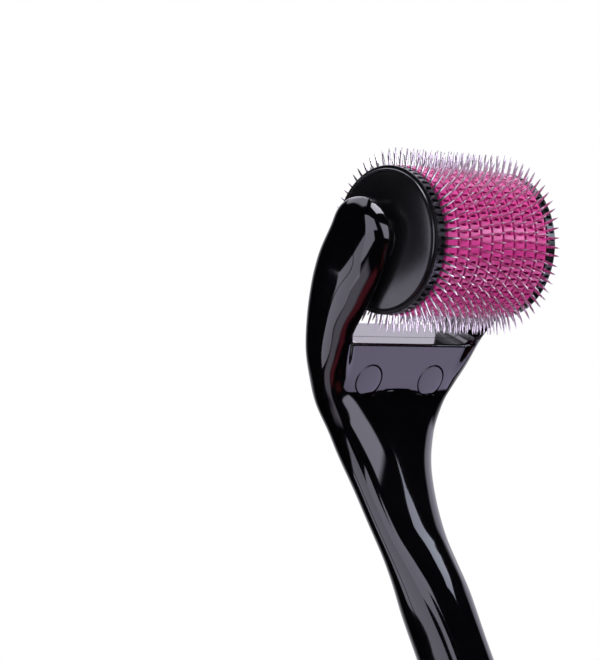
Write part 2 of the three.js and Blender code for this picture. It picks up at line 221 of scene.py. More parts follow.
def apply_modifiers(piece):
    graph = bpy.context.evaluated_depsgraph_get()
    mesh = bpy.data.meshes.new_from_object(
        piece.evaluated_get(graph), preserve_all_data_layers=True, depsgraph=graph)
    piece.modifiers.clear()
    old = piece.data
    piece.data = mesh
    bpy.data.meshes.remove(old)
    mesh.name = piece.name


def subtract(piece, cutter):
    """Cuts the cutter out of the piece and removes the cutter."""
    outward(cutter)
    cut = piece.modifiers.new("cut", "BOOLEAN")
    cut.operation, cut.solver, cut.object = "DIFFERENCE", "EXACT", cutter
    apply_modifiers(piece)
    bpy.data.objects.remove(cutter)


def outward(piece):
    """Turns all faces outwards."""
    bm = bmesh.new()
    bm.from_mesh(piece.data)
    bmesh.ops.recalc_face_normals(bm, faces=bm.faces)
    bm.to_mesh(piece.data)
    bm.free()
    return piece


def sharp_by_angle(piece, degrees):
    """Smooth shading with sharp edges where faces turn by more than the angle."""
    bm = bmesh.new()
    bm.from_mesh(piece.data)
    limit = math.radians(degrees)
    for edge in bm.edges:
        if len(edge.link_faces) == 2 and edge.calc_face_angle(0) > limit:
            edge.smooth = False
    bm.to_mesh(piece.data)
    bm.free()
    piece.data.shade_smooth()
    return piece


def about_x(radius, station, angle):
    """Point of a shape turned about the axle."""
    return station, -radius * math.cos(angle), radius * math.sin(angle)


def across_fork(x, rise):
    """Placing function for a round shape whose axis runs across the fork."""
    def place(radius, station, angle):
        return (x + radius * math.cos(angle),
                *fork(station, rise + radius * math.sin(angle)))
    return place


def turned(profile, segments, place=about_x, closed=False):
    """Profile of (radius, station) turned round an axis. Points at radius 0 are shared."""
    verts, rows, faces = [], [], []
    for radius, station in profile:
        if radius < 1e-9:
            rows.append([len(verts)] * segments)
            verts.append(place(0.0, station, 0.0))
        else:
            rows.append(range(len(verts), len(verts) + segments))
            verts += [place(radius, station, 2 * math.pi * i / segments)
                      for i in range(segments)]
    following = rows[1:] + rows[:1] if closed else rows[1:]
    for row, after in zip(rows, following):
        for i in range(segments):
            j = (i + 1) % segments
            face = list(dict.fromkeys([row[i], row[j], after[j], after[i]]))
            if len(face) > 2:
                faces.append(face)
    return verts, faces


def bar_across(radius, front, back, x, rise, segments):
    """Closed bar across the fork."""
    place = across_fork(x, rise)
    verts = [place(radius, depth, 2 * math.pi * i / segments)
             for depth in (front, back) for i in range(segments)]
    faces = [[i, (i + 1) % segments, segments + (i + 1) % segments, segments + i]
             for i in range(segments)]
    faces += [list(range(segments))[::-1], list(range(segments, 2 * segments))]
    return verts, faces


# ------------------------------------------------------------------ handle shape
SPINE_DEPTH = 4.0      # the handle's centre line, across the fork from the axle
LINE_TOP = 7.0         # rise at which the centre line starts
TIP_FROM, TIP_LENGTH = 0.7, 4.75       # rise and length of the rounded arm tips
TIP_TOP = TIP_FROM + TIP_LENGTH
BUTT_FROM = -118.2     # z at which the rounded butt starts
SLOT_FLOOR, SLOT_CORNER = -15.9, 2.1   # rise of the fork slot's floor, radius of its corners
COVER_SEAT = 2.9       # radius of the flat round each cover
WALL = 1.8             # wall round the hollow
HOLLOW_TOP, HOLLOW_LOW = -31.5, -121.0 # z of the ends of the hollow

# rise, depth of the front, depth of the back (both from the axle), half width
HEAD = np.array([
    [7.0, -5.4, 6.9, 17.14], [0.7, -5.4, 6.9, 17.14], [-2.0, -5.35, 7.45, 17.06],
    [-4.6, -4.95, 8.1, 16.86], [-7.0, -4.25, 8.45, 16.5], [-8.75, -3.65, 8.65, 16.17],
    [-10.6, -2.9, 8.72, 15.85], [-12.4, -1.95, 8.75, 15.52], [-14.0, -1.2, 8.77, 15.2],
    [-15.3, -0.85, 8.75, 14.9], [-17.4, -0.5, 8.65, 14.46], [-20.0, 0.0, 8.3, 13.9],
    [-22.0, 0.4, 7.9, 13.2], [-23.6, 0.4, 7.6, 12.5],
])
# y, z, half depth, half width
SHAFT = np.array([
    [16.0, -20.1, 3.9, 11.6], [15.95, -21.9, 4.05, 10.75], [16.0, -23.6, 4.05, 9.9],
    [15.95, -25.4, 4.15, 9.05], [15.75, -27.4, 4.25, 8.3], [15.35, -29.7, 4.2, 7.5],
    [14.72, -32.0, 4.05, 6.88], [13.28, -36.7, 3.75, 6.1], [11.41, -41.5, 3.65, 5.5],
    [9.33, -46.2, 4.25, 5.1], [7.55, -50.8, 5.0, 4.8], [4.85, -58.0, 5.2, 4.36],
    [1.7, -66.0, 5.2, 4.3], [-2.0, -75.0, 5.25, 4.6], [-5.85, -84.0, 5.3, 5.13],
    [-9.25, -92.0, 5.35, 5.9], [-12.2, -99.5, 5.4, 7.15], [-14.4, -106.5, 5.4, 8.85],
    [-15.8, -112.5, 5.35, 10.4], [-16.4, -116.5, 5.25, 10.76], [-16.75, -120.0, 5.2, 10.76],
    [-17.0, -125.0, 5.2, 10.76], [-17.1, -131.0, 5.2, 10.76],
])
# rise, then the section's powers: across in the back half, across in the front half,
# depth in the front half, depth in the back half; higher is squarer
POWERS = np.array([
    [-200, 2.3, 2.3, 2.3, 2.3], [-130, 2.4, 2.4, 2.4, 2.4], [-115, 2.7, 2.7, 2.6, 2.6],
    [-100, 2.6, 2.6, 2.6, 2.6], [-70, 2.4, 2.4, 2.5, 2.5], [-40, 2.3, 2.3, 2.3, 2.3],
    [-31, 2.6, 2.6, 2.5, 2.5], [-26, 3.6, 3.6, 3.0, 3.2], [-22, 5.0, 4.8, 3.4, 4.4],
    [-15, 9.0, 5.0, 2.8, 6.0], [-8, 13.0, 4.5, 2.4, 7.0], [8, 13.0, 4.5, 2.4, 6.0],
])
# rise, depth of the seam between the shells from the centre line
SEAM = np.array([
    [-200, 0], [-33, 0], [-24.2, -0.2], [-21.0, -0.07], [-16.6, -0.5], [-12.2, -1.25],
    [-9.7, -1.75], [-8.0, -2.4], [-6.3, -3.35], [-4.5, -4.35], [-3.1, -4.45], [-1.7, -3.85],
    [0, -2.8], [1.2, -1.6], [2.9, 0.1], [4.6, 1.3], [7, 1.6],
])


class Handle:
    """The handle in straightened space: x across, depth from the centre line towards the
    back, rise up along it (0 at the axle). Fields are below 0 inside."""

    def __init__(self):
        head_rise = np.arange(LINE_TOP, -24.01, -0.5)
        points = np.array([fork(SPINE_DEPTH, rise) for rise in head_rise]
                          + [tuple(row[:2]) for row in SHAFT])
        arc = np.concatenate([[0], np.cumsum(np.hypot(*np.diff(points, axis=0).T))])
        length = np.arange(0, arc[-1], LINE_STEP)
        self.rise = LINE_TOP - length          # falls along the array
        self.y, self.z = (blur(pchip(arc, points[:, i], length), 1.8) for i in (0, 1))
        down_y, down_z = np.gradient(self.y), np.gradient(self.z)
        norm = np.hypot(down_y, down_z)
        self.up_y, self.up_z = -down_y / norm, -down_z / norm
        self.back_y, self.back_z = self.up_z, -self.up_y
        turn = np.unwrap(np.arctan2(self.back_z, self.back_y))
        self.bend = np.gradient(turn, -LINE_STEP)

        stations = np.concatenate([HEAD[:, 0], LINE_TOP - arc[len(head_rise):]])
        outline = np.vstack([
            HEAD[:, 1:] - [SPINE_DEPTH, SPINE_DEPTH, 0],
            np.stack([-SHAFT[:, 2], SHAFT[:, 2], SHAFT[:, 3]], 1),
        ])
        order = np.argsort(stations)
        front, back, width = (
            blur(pchip(stations[order], outline[order, i], self.rise), 0.9) for i in range(3))

        # rounded arm tips, closing on a depth just behind the axle
        tip = np.clip((self.rise - TIP_FROM) / TIP_LENGTH, 0, 0.99999)
        lobe = np.sqrt(1 - tip**2)
        tip_front, tip_back = 1.3 - SPINE_DEPTH, 1.4 - SPINE_DEPTH
        in_tip = self.rise > TIP_FROM
        front = np.where(in_tip, tip_front + (front - tip_front) * lobe, front)
        back = np.where(in_tip, tip_back + (back - tip_back) * lobe, back)
        width = width - 1.3 * tip**4

        # rounded butt
        round_from = self.rise_at(BUTT_FROM)
        self.low_end = self.rise_at(BUTT_Z)
        end = np.clip((round_from - self.rise) / (round_from - self.low_end), 0, 0.99999)
        lobe = (1 - end**2.5) ** (1 / 2.5)
        self.front, self.back = front * lobe, back * lobe
        self.width = width * np.sqrt(1 - end**2)

        self.across_back, self.across_front, self.depth_front, self.depth_back = (
            pchip(POWERS[:, 0], POWERS[:, i], self.rise) for i in range(1, 5))
        self.seam = blur(pchip(SEAM[:, 0], SEAM[:, 1], self.rise), 0.8)

    def at(self, name, rise):
        return np.interp(-rise, -self.rise, getattr(self, name))

    def rise_at(self, z):
        return float(np.interp(-z, -self.z, self.rise))

    def level(self, x, depth, rise):
        """Level of the section; its slope varies."""
        width, front, back = (self.at(name, rise) for name in ("width", "front", "back"))
        middle, half = (front + back) / 2, np.maximum((back - front) / 2, 1e-4)
        behind = depth > middle
        across_power = np.where(
            behind, self.at("across_back", rise), self.at("across_front", rise))
        depth_power = np.where(
            behind, self.at("depth_back", rise), self.at("depth_front", rise))
        across = np.abs(x) / np.maximum(width, 1e-4)
        deep = np.abs(depth - middle) / half
        value = (across**across_power + deep**depth_power) ** (1 / across_power) - 1
        over = np.maximum(rise - TIP_TOP, 0) + np.maximum(self.low_end - rise, 0)
        return np.minimum(value, 3.0) + over

    def outer(self, x, depth, rise):
        """Distance to the outer skin, to first order."""
        value = self.level(x, depth, rise)
        grads = gradient(self.level, x, depth, rise, step=0.02)
        return value / np.maximum(np.sqrt((grads**2).sum(0)), 0.05)

    def solid(self, x, depth, rise):
        """Distance to the handle without its hollow, before its holes are drilled."""
        shape = self.outer(x, depth, rise)
        from_axle = depth + SPINE_DEPTH
        # flat front of the neck: down to an arch and round the cover seats, below the slot,
        # and between sides that spread upwards
        seat = np.sqrt((np.abs(x) - SCREW_X) ** 2 + (rise - SCREW_RISE) ** 2) - COVER_SEAT
        arch = -24.1 + 0.8 * np.exp(-((x / 3.2) ** 2))
        cut = smax(from_axle - NECK_FACE, smin(arch - rise, seat, 1.6), 0.3)
        cut = smax(cut, rise + 15.2, 0.4)
        cut = smax(cut, np.abs(x) - 11.0 - 0.2 * (rise + 22), 1.6)
        shape = smax(shape, -cut, 0.5)
        # fork slot, its side walls spreading upwards
        wall = np.where(rise < 0, 14.1 + 0.116 * rise, 14.1 + 0.03 * rise)
        past_wall = np.abs(x) - (wall - SLOT_CORNER)
        past_floor = (SLOT_FLOOR + SLOT_CORNER) - rise
        slot = (np.sqrt(np.maximum(past_wall, 0) ** 2 + np.maximum(past_floor, 0) ** 2)
                + np.minimum(np.maximum(past_wall, past_floor), 0) - SLOT_CORNER)
        edge_blend = np.interp(-rise, [0.0, 8.0, 14.0, 16.0], [1.0, 0.9, 0.5, 0.4])
        shape = smax(shape, -slot, edge_blend)
        # bosses of radius 2.5 round the axle inside the arms
        barrel = np.sqrt(from_axle**2 + rise**2) - 2.5
        boss = smax(smax(barrel, 13.5 - np.abs(x), 0.5), np.abs(x) - 15.0, 0.2)
        return smin(shape, boss, 0.9)

    def hollow(self, x, depth, rise):
        inner = self.outer(x, depth, rise) + WALL
        inner = smax(inner, rise - self.rise_at(HOLLOW_TOP), 0.8)
        return smax(inner, self.rise_at(HOLLOW_LOW) - rise, 0.8)

    def body(self, x, depth, rise):
        return smax(self.solid(x, depth, rise), -self.hollow(x, depth, rise), 0.3)

    def place(self, x, depth, rise):
        """Bent back into shape, about the axle."""
        y = self.at("y", rise) + depth * self.at("back_y", rise)
        z = self.at("z", rise) + depth * self.at("back_z", rise)
        return np.stack([x, y, z], 1)

    def straighten(self, points):
        """(x, depth, rise) of points about the axle: first guess the station, then refine it."""
        x, y, z = points.T
        rise = np.clip(np.where(z > -20, -y * LEAN_SIN + z * LEAN_COS, 0), -24, 7)
        rise = np.where(z > -20, rise, np.interp(-z, -self.z, self.rise))
        for _ in range(12):
            off_y, off_z = y - self.at("y", rise), z - self.at("z", rise)
            rise = rise + (off_y * self.at("up_y", rise) + off_z * self.at("up_z", rise)) * 0.8
        off_y, off_z = y - self.at("y", rise), z - self.at("z", rise)
        depth = off_y * self.at("back_y", rise) + off_z * self.at("back_z", rise)
        return np.stack([x, depth, rise], 1)

    def normal(self, x, depth, rise):
        """Normal of the body, bent back into shape."""
        grad_x, grad_depth, grad_rise = gradient(self.body, x, depth, rise)
        grad_rise = grad_rise / np.maximum(1 - self.at("bend", rise) * depth, 0.2)
        normal = np.stack([
            grad_x,
            grad_depth * self.at("back_y", rise) + grad_rise * self.at("up_y", rise),
            grad_depth * self.at("back_z", rise) + grad_rise * self.at("up_z", rise),
        ], 1)
        return normal / np.maximum(np.linalg.norm(normal, axis=1), 1e-12)[:, None]


# ------------------------------------------------------------------ procedural materials
def add_node(tree, kind, **values):
    """Shader node; a value goes to the input of that name, or else to the property."""
    new = tree.nodes.new("ShaderNode" + kind)
    for name, value in values.items():
        if name in new.inputs.keys():
            new.inputs[name].default_value = value
        else:
            setattr(new, name, value)
    return new


def new_material(name):
    """Material with its node tree, Principled shader and surface socket."""
    material = bpy.data.materials.new(name)
    material.use_nodes = True
    tree = material.node_tree
    tree.nodes.clear()
    surface = add_node(tree, "OutputMaterial").inputs[0]
    shader = add_node(tree, "BsdfPrincipled")
    tree.links.new(shader.outputs[0], surface)
    return material, tree, shader, surface


def noise(tree, stretch=None, **settings):
    source = add_node(tree, "TexCoord").outputs["Object"]
    if stretch:
        mapping = add_node(tree, "Mapping", Scale=stretch)
        tree.links.new(source, mapping.inputs["Vector"])
        source = mapping.outputs[0]
    texture = add_node(tree, "TexNoise", **settings)
    tree.links.new(source, texture.inputs["Vector"])
    return texture.outputs["Fac"]


def colour_between(tree, factor, dark, light):
    ramp = add_node(tree, "ValToRGB")
    for element, position, colour in zip(ramp.color_ramp.elements, (0.3, 0.7), (dark, light)):
        element.position = position
        element.color = (*colour, 1)
    tree.links.new(factor, ramp.inputs[0])
    return ramp.outputs[0]


def textured(name, colours, colour_noise, roughness, roughness_noise, bump, bump_noise,
             stretch=None, **inputs):
    """Material whose colour, roughness and bump each follow their own noise.
    colours and roughness are (low, high); bump holds the settings of the Bump node."""
    material, tree, shader, _ = new_material(name)
    colour = colour_between(tree, noise(tree, stretch, **colour_noise), *colours)
    tree.links.new(colour, shader.inputs["Base Color"])
    factor = noise(tree, stretch, **roughness_noise)
    low, high = roughness
    spread = add_node(tree, "MapRange", **{"To Min": low, "To Max": high})
    tree.links.new(factor, spread.inputs["Value"])
    tree.links.new(spread.outputs[0], shader.inputs["Roughness"])
    for key, value in inputs.items():
        shader.inputs[key].default_value = value
    height = noise(tree, stretch, **bump_noise)
    relief = add_node(tree, "Bump", **bump)
    tree.links.new(height, relief.inputs["Height"])
    tree.links.new(relief.outputs[0], shader.inputs["Normal"])
    return material


def black_plastic(name, colours, roughness, ripple):
    return textured(
        name, colours, dict(Scale=240, Detail=4),
        roughness, dict(Scale=900, Detail=5, Roughness=0.6),
        bump=dict(Strength=ripple, Distance=0.00004), bump_noise=dict(Scale=160, Detail=2),
        IOR=1.53)


def steel(name, colours, roughness, stretch=(1, 1, 1)):
    return textured(
        name, colours, dict(Scale=800, Detail=4, Roughness=0.6),
        roughness, dict(Scale=2500, Detail=4, Roughness=0.6),
        bump=dict(Strength=0.3, Distance=0.00002), bump_noise=dict(Scale=3000, Detail=3),
        stretch=stretch, Metallic=1.0)


handle_mat = black_plastic(
    "handle_gloss_black", colours=((0.0005, 0.0004, 0.0007), (0.0009, 0.0008, 0.0012)),
    roughness=(0.045, 0.085), ripple=0.10)
cover_mat = black_plastic(
    "cover_gloss_black", colours=((0.0009, 0.0008, 0.0012), (0.0016, 0.0015, 0.0020)),
    roughness=(0.07, 0.12), ripple=0.18)
cap_mat = black_plastic(
    "cap_satin_black", colours=((0.0016, 0.0015, 0.0020), (0.0028, 0.0027, 0.0034)),
    roughness=(0.20, 0.27), ripple=0.30)
core_mat = black_plastic(
    "core_matte_black", colours=((0.010, 0.010, 0.012), (0.018, 0.018, 0.020)),
    roughness=(0.5, 0.65), ripple=0.5)
pink_mat = textured(
    "ring_gloss_pink", colours=((0.33, 0.016, 0.138), (0.41, 0.024, 0.174)),
    colour_noise=dict(Scale=300, Detail=4),
    roughness=(0.16, 0.30), roughness_noise=dict(Scale=1400, Detail=4),
    bump=dict(Strength=0.35, Distance=0.00003), bump_noise=dict(Scale=700, Detail=3),
    IOR=1.54, **{
        "Subsurface Weight": 0.18,
        "Subsurface Radius": (0.0011, 0.0003, 0.0006),
        "Subsurface Scale": 1.0,
    })
# Needle colour is partly the needles' own grey steel and partly painted reflection: its pink tint
# stands in for the pink rings reflected in the needles.
needle_mat = steel(
    "needle_steel", colours=((0.62, 0.56, 0.60), (0.80, 0.72, 0.77)), roughness=(0.18, 0.32))
axle_mat = steel(
    "axle_ground_steel", colours=((0.50, 0.50, 0.52), (0.62, 0.62, 0.64)),
    roughness=(0.22, 0.36), stretch=(0.15, 1, 1))
screw_mat = steel(
    "screw_zinc_steel", colours=((0.45, 0.45, 0.47), (0.60, 0.60, 0.62)),
    roughness=(0.30, 0.48))


# ------------------------------------------------------------------ handle shells
GRID_STEP = 0.36       # of the handle skin
SEAM_GAP = 0.055       # from the seam to the edge of each shell
SEAM_BANDS = (0.10, 0.24)              # extra edge loops beside the seam
EDGE_BREAK, EDGE_REACH = 0.07, 0.24    # depth and width of the broken edge along the seam
SKIN_NEAR = 0.09       # a point this close to the body counts as on its skin
AXLE_BORE = 1.17
# name, radius, front, back, segments of the holes behind each cover
SCREW_HOLES = [
    ("recess", 2.5, -2.0, 1.55, 72),
    ("counterbore", 2.2, 1.3, 2.9, 40),
    ("pilot", 1.05, 2.6, 6.6, 28),
]


def slab(start, end, low, high, step):
    """Closed box across the straightened handle, its two broad faces split into cells."""
    xs, rises = np.arange(-20.0, 20.01, 2.0), np.arange(low, high + step, step)
    verts = [(x, depth, rise) for depth in (start, end) for rise in rises for x in xs]
    wide, tall = len(xs), len(rises)

    def at(side, i, j):
        return side * wide * tall + j * wide + i

    faces = [[at(side, i, j), at(side, i + 1, j), at(side, i + 1, j + 1), at(side, i, j + 1)]
             for side in (0, 1) for j in range(tall - 1) for i in range(wide - 1)]
    rim = [(i, 0) for i in range(wide)] + [(wide - 1, j) for j in range(1, tall)]
    rim += [(i, tall - 1) for i in range(wide - 2, -1, -1)]
    rim += [(0, j) for j in range(tall - 2, 0, -1)]
    for here, there in zip(rim, rim[1:] + rim[:1]):
        faces.append([at(0, *here), at(0, *there), at(1, *there), at(1, *here)])
    return verts, faces


def whole_skin(handle, rises):
    """Mesh of the handle in straightened space, sheared so that the seam is depth 0."""
    xs = np.arange(-17.8, 17.81, GRID_STEP)
    depths = np.arange(-9.0, 6.0, GRID_STEP * 0.9)
    verts, quads = surface_nets(handle.body, xs, depths, rises)
    verts = settle(handle.body, verts, 4)
    verts[:, 1] -= handle.at("seam", verts[:, 2])
    bm = bmesh.new()
    corners = [bm.verts.new(point) for point in verts.tolist()]
    for quad in quads.tolist():
        bm.faces.new([corners[i] for i in quad])
    if bm.calc_volume(signed=True) < 0:
        bmesh.ops.reverse_faces(bm, faces=bm.faces)
    for band in SEAM_BANDS:
        for side in (1, -1):
            bmesh.ops.bisect_plane(
                bm, geom=bm.verts[:] + bm.edges[:] + bm.faces[:], dist=1e-5,
                plane_co=(0, side * (SEAM_GAP + band), 0), plane_no=(0, 1, 0))
    whole = bpy.data.meshes.new("whole")
    bm.to_mesh(whole)
    bm.free()
    return whole


def bend_shell(handle, shell):
    """Cleans up the seam edge of a cut shell and bends the shell into shape."""
    bm = bmesh.new()
    bm.from_mesh(shell.data)
    points = np.array([vert.co[:] for vert in bm.verts])
    from_edge = np.abs(np.abs(points[:, 1]) - SEAM_GAP)
    points[:, 1] += handle.at("seam", points[:, 2])
    keep = (from_edge < 0.3) & (np.abs(handle.body(*points.T)) < SKIN_NEAR)
    points[keep] = settle(handle.body, points[keep], 3, hold_depth=True)
    # broken edge along the seam
    skin = (np.abs(handle.outer(*points.T)) < 0.03) | (np.abs(handle.solid(*points.T)) < 0.02)
    ease = np.clip(1 - from_edge / EDGE_REACH, 0, 1) ** 2
    back_off = np.where(keep & skin, EDGE_BREAK * ease, 0)
    grads = gradient(handle.solid, *points.T)
    grads[1] = 0
    grads /= np.maximum(np.linalg.norm(grads, axis=0), 1e-9)
    points -= (back_off * grads).T
    for vert, place in zip(bm.verts, ((handle.place(*points.T) + AXLE) * MM).tolist()):
        vert.co = place
    bmesh.ops.recalc_face_normals(bm, faces=bm.faces)
    bm.to_mesh(shell.data)
    bm.free()


def drill(shell):
    """Axle bore and, on each side, the stepped screw hole."""
    bore = turned([(0, -16.0), (AXLE_BORE, -16.0), (AXLE_BORE, 16.0), (0, 16.0)], 48)
    cuts = [("axle_bore", bore)]
    for side, sign in SIDES:
        for name, radius, front, back, segments in SCREW_HOLES:
            bar = bar_across(radius, front, back, sign * SCREW_X, SCREW_RISE, segments)
            cuts.append((f"{name}_{side[0]}", bar))
    for name, (verts, faces) in cuts:
        subtract(shell, add_mesh(name, verts, faces, smooth=False))


def smooth_normals(handle, shell):
    """Corner normals from the shape itself on its skin, and from the faces everywhere else."""
    mesh = shell.data
    places = np.zeros(len(mesh.vertices) * 3)
    mesh.vertices.foreach_get("co", places)
    points = handle.straighten(places.reshape(-1, 3) / MM - AXLE)
    on_skin = np.abs(handle.body(*points.T)) < SKIN_NEAR
    corner_vert = np.zeros(len(mesh.loops), int)
    mesh.loops.foreach_get("vertex_index", corner_vert)
    face_normals = np.zeros(len(mesh.polygons) * 3)
    mesh.polygons.foreach_get("normal", face_normals)
    sizes = np.zeros(len(mesh.polygons), int)
    mesh.polygons.foreach_get("loop_total", sizes)
    flat = face_normals.reshape(-1, 3)[np.repeat(np.arange(len(sizes)), sizes)]
    curved = handle.normal(*points.T)[corner_vert]
    good = on_skin[corner_vert] & ((curved * flat).sum(1) > 0.55)
    mesh.shade_smooth()
    mesh.normals_split_custom_set(np.where(good[:, None], curved, flat).tolist())


def build_shells():
    handle = Handle()
    rises = np.arange(handle.low_end - 1.0, LINE_TOP, GRID_STEP * 1.1)
    whole = whole_skin(handle, rises)
    shells = {}
    for sign, side in ((-1, "front"), (1, "back")):
        shell = link_object("handle_" + side, whole.copy())
        verts, faces = slab(
            sign * SEAM_GAP, -sign * 30.0, rises[0] - 3.31, rises[-1] + 3, step=0.75)
        mesh = bpy.data.meshes.new("slab")
        mesh.from_pydata(verts, [], faces)
        subtract(shell, link_object("slab", mesh))
        bend_shell(handle, shell)
        shells[side] = shell
    bpy.data.meshes.remove(whole)
    for shell in shells.values():
        drill(shell)
        smooth_normals(handle, shell)
    for side, shell in shells.items():
        finish_piece(shell, "handle", handle_mat, f"handle_{side}_shell")


build_shells()

# ------------------------------------------------------------------ covers, screws and axle
COVER_FACE = NECK_FACE + 0.02
# radius, depth: a slightly dished face, a rounded rim and a flat back
COVER_PROFILE = [
    (0, COVER_FACE - 0.06), (0.9, COVER_FACE - 0.055), (1.7, COVER_FACE - 0.03),
    (2.22, COVER_FACE), (2.31, COVER_FACE + 0.015), (2.38, COVER_FACE + 0.07),
    (2.41, COVER_FACE + 0.16), (2.41, 1.38), (2.33, 1.5), (1.2, 1.5), (0, 1.5),
]
# radius, depth: socketed head, coarse thread, tip
SCREW_PROFILE = [
    (0, 2.0), (0.55, 2.0), (0.6, 1.72), (1.5, 1.66), (1.9, 1.78), (2.0, 2.0), (2.0, 2.62),
    (1.9, 2.75), (0.92, 2.8), (0.9, 3.0),
]
THREAD_START, THREAD_PITCH, THREAD_TURNS = 3.15, 0.34, 9
for turn in range(THREAD_TURNS):
    root = THREAD_START + THREAD_PITCH * turn
    SCREW_PROFILE += [(0.78, root), (0.9, root + 0.14), (0.9, root + 0.2)]
SCREW_PROFILE += [(0.6, 6.15), (0.1, 6.4), (0, 6.4)]
# radius, x
AXLE_PROFILE = [
    (0, -15.9), (0.85, -15.9), (1.02, -15.82), (1.1, -15.65), (1.1, -14.0), (1.1, -5.0),
    (1.1, 5.0), (1.1, 14.0), (1.1, 15.65), (1.02, 15.82), (0.85, 15.9), (0, 15.9),
]


def turned_piece(name, profile, segments, place=about_x, sharp=40):
    piece = outward(add_mesh(name, *turned(profile, segments, place)))
    return sharp_by_angle(piece, sharp)


for side, sign in SIDES:
    place = across_fork(sign * SCREW_X, SCREW_RISE)
    cover = turned_piece("cover_" + side, COVER_PROFILE, 72, place)
    finish_piece(cover, "handle", cover_mat, "screw_cover_" + side)
    screw = turned_piece("screw_" + side, SCREW_PROFILE, 40, place)
    finish_piece(screw, "handle", screw_mat, "neck_screw_" + side)

rod = turned_piece("axle_rod", AXLE_PROFILE, 48, sharp=50)
finish_piece(rod, "handle", axle_mat, "axle_pin")

# ------------------------------------------------------------------ needle discs
PLATE_R, PLATE_SEGMENTS = 9.95, 120
TIP_R = 12.96
FREE_R = 10.2          # a needle bends from this radius outwards
# spread of each needle's sway along the rim, lean along x and growth in length
NEEDLE_SPREADS = (0.007, 0.012, 0.02)
# radius, half width along the rim, half thickness along x
NEEDLE_ROWS = [
    (9.8, 0.225, 0.125), (10.45, 0.215, 0.125), (11.2, 0.19, 0.122), (11.9, 0.158, 0.112),
    (12.45, 0.116, 0.090), (12.8, 0.066, 0.055), (TIP_R, 0.014, 0.014),
]
# corners of a needle's section: along the rim, along x, in half sizes
NEEDLE_SECTION = [
    (1, 0.45), (0.55, 1), (-0.55, 1), (-1, 0.45), (-1, -0.45), (-0.55, -1), (0.55, -1),
    (1, -0.45),
]


def hex_radius(angle):
    """Radius of the hexagonal hole, whose corners include the ones on +-Y."""
    return HEX_HOLE * math.cos(math.pi / 6) / math.cos((angle % (math.pi / 3)) - math.pi / 6)


def plate(middle_x):
    """Stamped plate with a hexagonal hole."""
    count = PLATE_SEGMENTS
    verts, faces = [], []
    for x in (middle_x - DISC_THICK / 2, middle_x + DISC_THICK / 2):
        for inner in (True, False):
            for i in range(count):
                angle = 2 * math.pi * i / count
                radius = hex_radius(angle) if inner else PLATE_R
                verts.append((x, radius * math.cos(angle), radius * math.sin(angle)))
    for i in range(count):
        j = (i + 1) % count
        faces += [
            [i, j, count + j, count + i],
            [2 * count + i, 3 * count + i, 3 * count + j, 2 * count + j],
            [count + i, count + j, 3 * count + j, 3 * count + i],
            [i, 2 * count + i, 2 * count + j, j],
        ]
    return verts, faces


def needle_disc(disc):
    """Plate and its needles: flat at the foot, ground to a point."""
    middle_x = DISC_X[disc]
    verts, faces = plate(middle_x)
    sides = len(NEEDLE_SECTION)
    for needle in range(NEEDLES):
        angle = FIRST_TIP - PITCH * (needle - PHASES[disc])
        sway, lean, growth = [RNG.normal(0, spread) for spread in NEEDLE_SPREADS]
        base = len(verts)
        for row_radius, half_width, half_thick in NEEDLE_ROWS:
            radius = row_radius + growth * max(0.0, row_radius - 10) / 3
            free = max(0.0, row_radius - FREE_R)
            swayed = angle + free * sway / 2.7
            sine, cosine = math.sin(swayed), math.cos(swayed)
            for along_rim, along_x in NEEDLE_SECTION:
                off = along_rim * half_width
                verts.append((middle_x + along_x * half_thick + free * lean,
                              -radius * cosine + off * sine,
                              radius * sine + off * cosine))
        last = base + (len(NEEDLE_ROWS) - 1) * sides
        for row in range(base, last, sides):
            for i in range(sides):
                j = (i + 1) % sides
                faces.append([row + i, row + j, row + sides + j, row + sides + i])
        faces.append([base + i for i in range(sides)][::-1])
        faces.append([last + i for i in range(sides)])
    return outward(add_mesh(f"needles_{disc + 1:02d}", verts, faces))


for disc in range(DISCS):
    piece = sharp_by_angle(needle_disc(disc), 48)
    finish_piece(piece, "roller", needle_mat, f"needle_disc_{disc + 1:02d}")

# ------------------------------------------------------------------ rings, core and end caps
RING_R, POCKET_DEPTH = 10.5, 0.85
RING_FLANGE, RING_PLAY = 0.36, 0.05    # flange beside the pockets, gap to each disc
CORE_R, CORE_HALF, CORE_BORE = 6.0, 10.95, 1.18
# radius, x of the right end cap's dome, from the bore out over the rim and back inside
DOME_PROFILE = [
    (1.2, 12.80), (2.3, 12.80), (2.75, 12.79), (2.95, 12.74), (3.05, 12.64), (3.6, 12.635),
    (4.6, 12.60), (5.8, 12.52), (7.0, 12.40), (8.0, 12.26), (8.9, 12.09), (9.35, 11.985),
    (9.55, 11.93), (9.63, 11.935), (9.75, 11.98), (9.86, 11.98), (9.94, 11.90), (9.97, 11.80),
    (9.97, 11.60), (9.5, 11.58), (6.0, 11.10), (1.2, 11.06),
]


